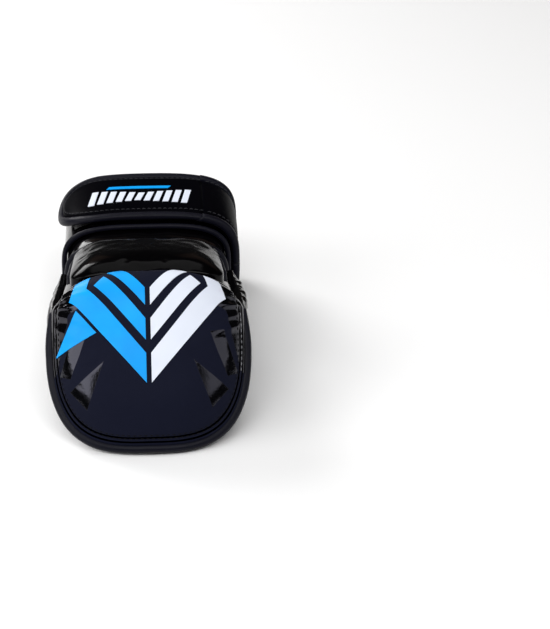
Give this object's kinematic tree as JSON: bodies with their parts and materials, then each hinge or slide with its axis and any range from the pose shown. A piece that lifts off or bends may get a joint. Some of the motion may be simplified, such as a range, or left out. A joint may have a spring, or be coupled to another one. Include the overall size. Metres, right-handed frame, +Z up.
{
  "type": "sparring glove",
  "caption": "Padded right-hand sparring glove: curved knuckle pad, padded hand shell, thumb sleeve, finger loops, wrist cuff and a wrap-around closing strap.",
  "frame": {"origin": "middle of the glove's footprint, on the surface that it lies on palm down", "axes": "+X towards the thumb's side, +Y from the fingertips to the forearm, +Z up, out of the back of the hand"},
  "size_m": [0.1256, 0.2476, 0.0915],
  "materials": {
    "matte_leather": "matte black synthetic leather",
    "gloss_leather": "gloss black synthetic leather",
    "edging": "satin black bound edge",
    "textile": "black woven lining",
    "firm_foam": "firm closed-cell foam",
    "soft_foam": "soft foam",
    "hook_and_loop": "hook-and-loop tape"
  },
  "bodies": {
    "hand": {"hand_shell": "matte_leather", "hand_lining": "textile", "hand_back_foam": "firm_foam", "hand_back_skin": "gloss_leather", "hand_back_piping": "edging", "side_foam_right": "soft_foam", "side_foam_left": "soft_foam", "side_skin_right": "gloss_leather", "side_skin_left": "gloss_leather", "palm_panel": "matte_leather", "thumb_gusset": "matte_leather", "grip_bar_cover": "matte_leather", "grip_bar_core": "soft_foam", "cuff_shell": "matte_leather", "cuff_padding": "textile", "cuff_front_binding": "edging", "cuff_rear_binding": "edging", "cuff_flap": "gloss_leather", "cuff_flap_binding": "edging", "loop_patch": "hook_and_loop", "strap_under_band": "matte_leather", "strap_under_binding_front": "edging", "strap_under_binding_rear": "edging", "flex_web": "gloss_leather"},
    "knuckle": {"knuckle_pad_skin": "matte_leather", "knuckle_foam_firm": "firm_foam", "knuckle_foam_soft": "soft_foam", "finger_side_lining": "textile", "knuckle_pad_binding": "edging"},
    "finger_1": {"finger_loop_1": "textile"},
    "finger_2": {"finger_loop_2": "textile"},
    "finger_3": {"finger_loop_3": "textile"},
    "finger_4": {"finger_loop_4": "textile"},
    "thumb": {"thumb_sleeve": "matte_leather", "thumb_lining": "textile", "thumb_binding": "edging", "thumb_pad": "gloss_leather"},
    "strap_side": {"strap_side_band": "matte_leather", "strap_side_binding_front": "edging", "strap_side_binding_rear": "edging"},
    "strap_top": {"strap_top_band": "matte_leather", "strap_top_binding_front": "edging", "strap_top_binding_rear": "edging"},
    "strap_tip": {"strap_tip_band": "matte_leather", "strap_tip_binding": "edging", "hook_patch": "hook_and_loop"}
  },
  "joints": [
    {"name": "knuckle_flex", "type": "hinge", "parent": "hand", "child": "knuckle", "pos_m": [-0.00006, -0.04426, 0.07619], "axis": [1, 0, 0], "range_deg": [-30, 6], "stiffness_Nm_per_rad": 3, "deforming": ["flex_web"]},
    {"name": "finger_1_swing", "type": "hinge", "parent": "knuckle", "child": "finger_1", "pos_m": [-0.03966, -0.05839, 0.06462], "axis": [1, 0, 0], "range_deg": [0, 12], "stiffness_Nm_per_rad": 0.05},
    {"name": "finger_2_swing", "type": "hinge", "parent": "knuckle", "child": "finger_2", "pos_m": [-0.01326, -0.05839, 0.06462], "axis": [1, 0, 0], "range_deg": [0, 12], "stiffness_Nm_per_rad": 0.05},
    {"name": "finger_3_swing", "type": "hinge", "parent": "knuckle", "child": "finger_3", "pos_m": [0.01314, -0.05839, 0.06462], "axis": [1, 0, 0], "range_deg": [0, 12], "stiffness_Nm_per_rad": 0.05},
    {"name": "finger_4_swing", "type": "hinge", "parent": "knuckle", "child": "finger_4", "pos_m": [0.03954, -0.05839, 0.06462], "axis": [1, 0, 0], "range_deg": [0, 12], "stiffness_Nm_per_rad": 0.05},
    {"name": "thumb_swing", "type": "hinge", "parent": "hand", "child": "thumb", "pos_m": [0.04544, 0.00954, 0.02], "axis": [0, 0, 1], "range_deg": [-6, 20], "stiffness_Nm_per_rad": 0.3},
    {"name": "strap_side_open", "type": "hinge", "parent": "hand", "child": "strap_side", "pos_m": [0.04947, 0.08654, 0.00655], "axis": [0, 1, 0], "range_deg": [0, 60]},
    {"name": "strap_top_open", "type": "hinge", "parent": "strap_side", "child": "strap_top", "pos_m": [0.04947, 0.08654, 0.06845], "axis": [0, 1, 0], "range_deg": [0, 100]},
    {"name": "strap_tip_peel", "type": "hinge", "parent": "strap_top", "child": "strap_tip", "pos_m": [-0.02881, 0.08654, 0.07429], "axis": [0, 1, 0], "range_deg": [0, 45]}
  ]
}
